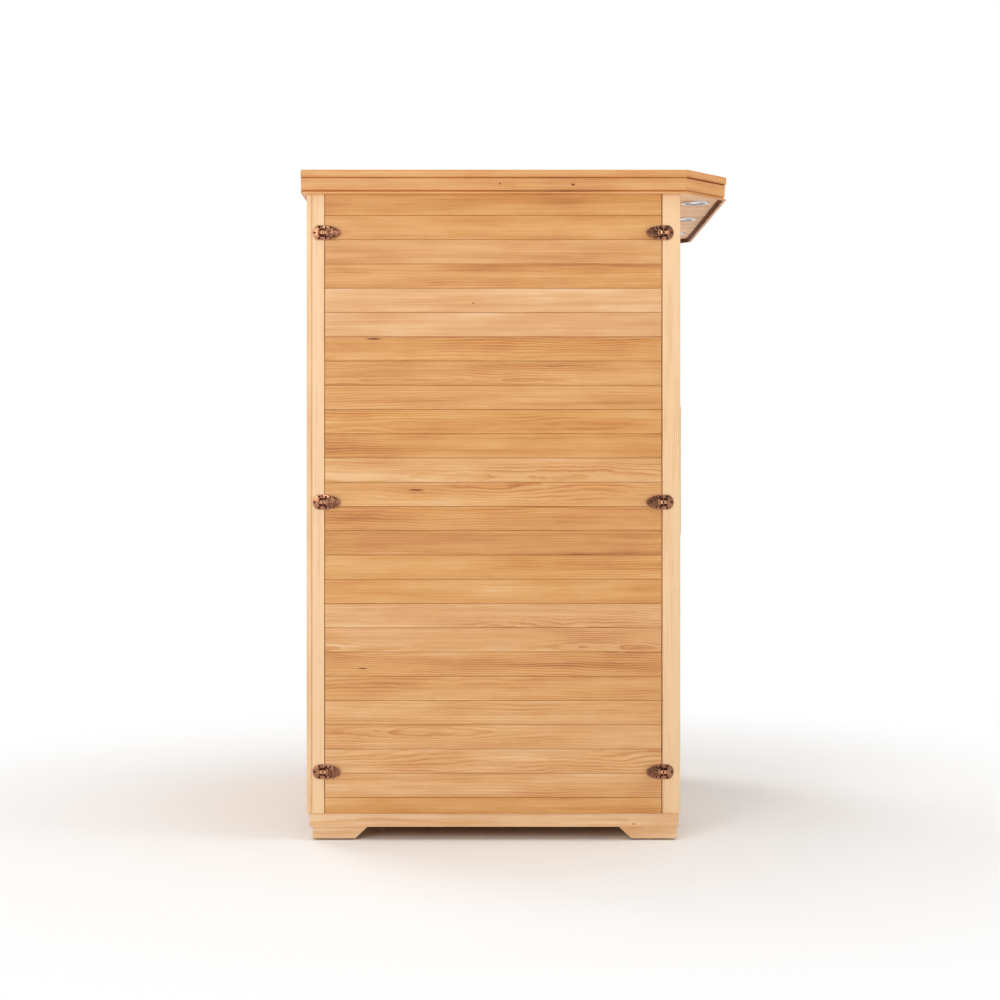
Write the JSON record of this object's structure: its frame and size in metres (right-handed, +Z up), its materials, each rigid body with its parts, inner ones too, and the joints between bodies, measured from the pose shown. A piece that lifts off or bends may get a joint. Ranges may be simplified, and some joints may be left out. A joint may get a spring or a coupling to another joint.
{
  "type": "infrared sauna cabin",
  "caption": "Free-standing wooden infrared sauna cabin: board walls held by toggle latches, cornice with a downlit visor, glass front with a hinged door, bench and heater panels inside.",
  "frame": {"origin": "on the floor, at the middle of the whole outline including the cornice and the visor", "axes": "+Z up; -Y is the front with the door and the visor; X runs across the width"},
  "size_m": [1.24, 1.22, 1.9],
  "materials": {
    "pale_wood": "satin lacquered pale softwood",
    "board_wood": "satin lacquered honey softwood boards",
    "inner_wood": "untreated planed softwood",
    "clear_glass": "clear toughened glass, polished edges",
    "chrome_trim": "polished chrome",
    "antique_copper": "antique copper plate, rubbed bright on the edges",
    "heater_panel": "dark emitter panel in a wooden frame",
    "control_glass": "gloss black membrane panel",
    "lamp_white": "frosted white diffuser",
    "unit_case": "black powder coat"
  },
  "bodies": {
    "cabin": {"floor_panel": "pale_wood", "foot_front_left": "pale_wood", "foot_front_right": "pale_wood", "foot_rear_left": "pale_wood", "foot_rear_right": "pale_wood", "front_left_post": "pale_wood", "front_right_post": "pale_wood", "front_header": "pale_wood", "front_sill": "pale_wood", "left_wall": "board_wood", "right_wall": "board_wood", "rear_wall": "board_wood", "cornice": "board_wood", "roof_panel": "inner_wood", "bench_seat": "inner_wood", "bench_front": "inner_wood", "left_window": "clear_glass", "right_window": "clear_glass", "upper_hinge_fixed": "chrome_trim", "lower_hinge_fixed": "chrome_trim", "visor_lamp_left": "chrome_trim", "visor_lamp_middle": "chrome_trim", "visor_lamp_right": "chrome_trim", "rear_heater_left": "heater_panel", "rear_heater_right": "heater_panel", "left_heater": "heater_panel", "right_heater": "heater_panel", "calf_heater": "heater_panel", "control_panel": "control_glass", "ceiling_lamp": "lamp_white", "power_unit": "unit_case", "latch_base_left_front_bottom": "antique_copper", "latch_base_left_front_middle": "antique_copper", "latch_base_left_front_top": "antique_copper", "latch_base_left_rear_bottom": "antique_copper", "latch_base_left_rear_middle": "antique_copper", "latch_base_left_rear_top": "antique_copper", "latch_base_right_front_bottom": "antique_copper", "latch_base_right_front_middle": "antique_copper", "latch_base_right_front_top": "antique_copper", "latch_base_right_rear_bottom": "antique_copper", "latch_base_right_rear_middle": "antique_copper", "latch_base_right_rear_top": "antique_copper"},
    "door": {"door_glass": "clear_glass", "door_handle": "board_wood", "upper_hinge_leaf": "chrome_trim", "lower_hinge_leaf": "chrome_trim"},
    "vent": {"vent_shutter": "inner_wood"},
    "lever_left_front_bottom": {"latch_lever_left_front_bottom": "antique_copper"},
    "lever_left_front_middle": {"latch_lever_left_front_middle": "antique_copper"},
    "lever_left_front_top": {"latch_lever_left_front_top": "antique_copper"},
    "lever_left_rear_bottom": {"latch_lever_left_rear_bottom": "antique_copper"},
    "lever_left_rear_middle": {"latch_lever_left_rear_middle": "antique_copper"},
    "lever_left_rear_top": {"latch_lever_left_rear_top": "antique_copper"},
    "lever_right_front_bottom": {"latch_lever_right_front_bottom": "antique_copper"},
    "lever_right_front_middle": {"latch_lever_right_front_middle": "antique_copper"},
    "lever_right_front_top": {"latch_lever_right_front_top": "antique_copper"},
    "lever_right_rear_bottom": {"latch_lever_right_rear_bottom": "antique_copper"},
    "lever_right_rear_middle": {"latch_lever_right_rear_middle": "antique_copper"},
    "lever_right_rear_top": {"latch_lever_right_rear_top": "antique_copper"}
  },
  "joints": [
    {"name": "door_swing", "type": "hinge", "parent": "cabin", "child": "door", "pos_m": [0.3045, -0.452, 0.935], "axis": [0, 0, 1], "range_deg": [0, 110]},
    {"name": "vent_slide", "type": "slide", "parent": "cabin", "child": "vent", "axis": [0, 1, 0], "range_m": [0, 0.085]},
    {"name": "latch_left_front_bottom", "type": "hinge", "parent": "cabin", "child": "lever_left_front_bottom", "pos_m": [-0.6068, -0.404, 0.196], "axis": [0, 0, 1], "range_deg": [0, 110]},
    {"name": "latch_left_front_middle", "type": "hinge", "parent": "cabin", "child": "lever_left_front_middle", "pos_m": [-0.6068, -0.404, 0.96], "axis": [0, 0, 1], "range_deg": [0, 110]},
    {"name": "latch_left_front_top", "type": "hinge", "parent": "cabin", "child": "lever_left_front_top", "pos_m": [-0.6068, -0.404, 1.724], "axis": [0, 0, 1], "range_deg": [0, 110]},
    {"name": "latch_left_rear_bottom", "type": "hinge", "parent": "cabin", "child": "lever_left_rear_bottom", "pos_m": [-0.6068, 0.536, 0.196], "axis": [0, 0, -1], "range_deg": [0, 110]},
    {"name": "latch_left_rear_middle", "type": "hinge", "parent": "cabin", "child": "lever_left_rear_middle", "pos_m": [-0.6068, 0.536, 0.96], "axis": [0, 0, -1], "range_deg": [0, 110]},
    {"name": "latch_left_rear_top", "type": "hinge", "parent": "cabin", "child": "lever_left_rear_top", "pos_m": [-0.6068, 0.536, 1.724], "axis": [0, 0, -1], "range_deg": [0, 110]},
    {"name": "latch_right_front_bottom", "type": "hinge", "parent": "cabin", "child": "lever_right_front_bottom", "pos_m": [0.6068, -0.404, 0.196], "axis": [0, 0, -1], "range_deg": [0, 110]},
    {"name": "latch_right_front_middle", "type": "hinge", "parent": "cabin", "child": "lever_right_front_middle", "pos_m": [0.6068, -0.404, 0.96], "axis": [0, 0, -1], "range_deg": [0, 110]},
    {"name": "latch_right_front_top", "type": "hinge", "parent": "cabin", "child": "lever_right_front_top", "pos_m": [0.6068, -0.404, 1.724], "axis": [0, 0, -1], "range_deg": [0, 110]},
    {"name": "latch_right_rear_bottom", "type": "hinge", "parent": "cabin", "child": "lever_right_rear_bottom", "pos_m": [0.6068, 0.536, 0.196], "axis": [0, 0, 1], "range_deg": [0, 110]},
    {"name": "latch_right_rear_middle", "type": "hinge", "parent": "cabin", "child": "lever_right_rear_middle", "pos_m": [0.6068, 0.536, 0.96], "axis": [0, 0, 1], "range_deg": [0, 110]},
    {"name": "latch_right_rear_top", "type": "hinge", "parent": "cabin", "child": "lever_right_rear_top", "pos_m": [0.6068, 0.536, 1.724], "axis": [0, 0, 1], "range_deg": [0, 110]}
  ]
}
